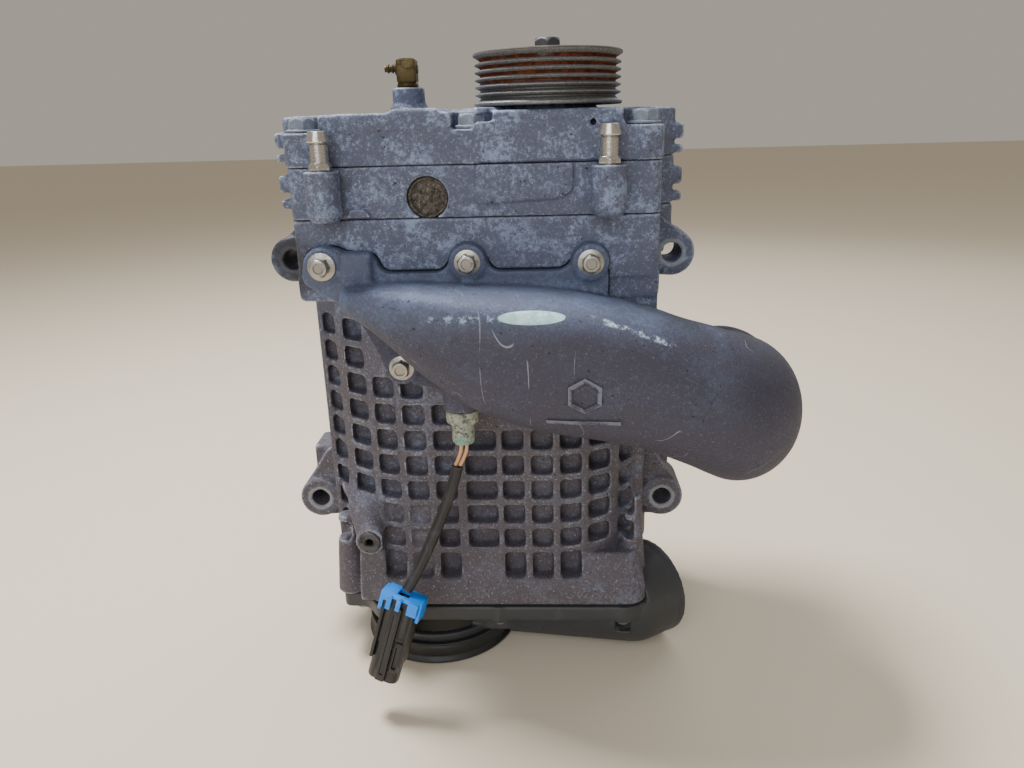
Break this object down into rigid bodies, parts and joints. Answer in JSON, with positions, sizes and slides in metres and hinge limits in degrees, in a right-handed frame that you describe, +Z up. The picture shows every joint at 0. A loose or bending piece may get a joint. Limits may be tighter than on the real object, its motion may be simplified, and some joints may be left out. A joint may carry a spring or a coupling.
{
  "type": "twin-screw supercharger",
  "caption": "Belt-driven twin-screw supercharger with waffle-ribbed casing, grooved pulley, curved outlet duct, sensor lead and round rubber intake.",
  "frame": {"origin": "middle of the underside of the whole part, measured without the loose sensor cable", "axes": "+Z up along the rotors towards the pulley, +X towards the outlet duct's mouth, -Y towards the ribbed front of the casing"},
  "size_m": [0.2904, 0.187, 0.3508],
  "materials": {
    "cast_aluminium": "sand-cast, grey-blue coating, matt, chalky oxidation",
    "duct_aluminium": "cast, darker slate coating, satin, worn ridge",
    "gasket_fibre": "compressed fibre",
    "black_plastic": "moulded, fine grain",
    "rubber": "moulded rubber",
    "rusty_steel": "rusted",
    "nickel_barb": "worn nickel plating",
    "brass": "tarnished brass",
    "blackened_steel": "dark, pitted",
    "sensor_metal": "corroded plating",
    "wire_insulation": "soft insulation",
    "blue_plastic": "bright blue, satin",
    "zinc_bolt": "yellowish zinc plating",
    "pulley_steel": "worn steel, rusted grooves",
    "machined_steel": "machined",
    "rotor_aluminium": "machined, coated"
  },
  "bodies": {
    "casing": {"rotor_housing": "cast_aluminium", "gear_plate": "cast_aluminium", "gear_cover": "cast_aluminium", "outlet_duct": "duct_aluminium", "duct_gasket": "gasket_fibre", "intake_housing": "black_plastic", "connector_body": "black_plastic", "intake_gasket": "rubber", "intake_ring": "rubber", "cable_sleeve": "rubber", "shaft_seal": "rubber", "core_plug": "rusty_steel", "hose_barb_left": "nickel_barb", "hose_barb_right": "nickel_barb", "oil_elbow": "brass", "port_insert": "blackened_steel", "temperature_sensor": "sensor_metal", "sensor_wire_left": "wire_insulation", "sensor_wire_right": "wire_insulation", "connector_lock": "blue_plastic", "duct_bolt_1": "zinc_bolt", "duct_bolt_2": "zinc_bolt", "duct_bolt_3": "zinc_bolt", "duct_bolt_4": "zinc_bolt", "cover_bolt_1": "zinc_bolt", "cover_bolt_2": "zinc_bolt", "cover_bolt_3": "zinc_bolt", "cover_bolt_4": "zinc_bolt", "cover_bolt_5": "zinc_bolt", "cover_bolt_6": "zinc_bolt", "intake_screw_1": "zinc_bolt", "intake_screw_2": "zinc_bolt", "intake_screw_3": "zinc_bolt", "intake_screw_4": "zinc_bolt", "intake_screw_5": "zinc_bolt", "intake_screw_6": "zinc_bolt", "male_lower_bearing": "machined_steel", "male_upper_bearing": "machined_steel", "female_lower_bearing": "machined_steel", "female_upper_bearing": "machined_steel", "input_lower_bearing": "machined_steel", "input_upper_bearing": "machined_steel", "dowel_pin_1": "machined_steel", "dowel_pin_2": "machined_steel"},
    "input": {"pulley": "pulley_steel", "pulley_bolt": "blackened_steel", "input_shaft": "machined_steel", "drive_gear": "machined_steel"},
    "male": {"male_rotor": "rotor_aluminium", "pinion": "machined_steel", "male_timing_gear": "machined_steel"},
    "female": {"female_rotor": "rotor_aluminium", "female_timing_gear": "machined_steel"}
  },
  "joints": [
    {"name": "input_spin", "type": "hinge", "parent": "casing", "child": "input", "pos_m": [0.01185, -0.003, 0.331], "axis": [0, 0, 1], "continuous": true},
    {"name": "male_spin", "type": "hinge", "parent": "casing", "child": "male", "pos_m": [0.00925, 0.02689, 0.16], "axis": [0, 0, 1], "continuous": true},
    {"name": "female_spin", "type": "hinge", "parent": "casing", "child": "female", "pos_m": [-0.06275, 0.02689, 0.16], "axis": [0, 0, 1], "continuous": true}
  ],
  "couplings": [
    {"joint": "male_spin", "follows": "input_spin", "ratio": -1.5},
    {"joint": "female_spin", "follows": "input_spin", "ratio": 0.9}
  ]
}
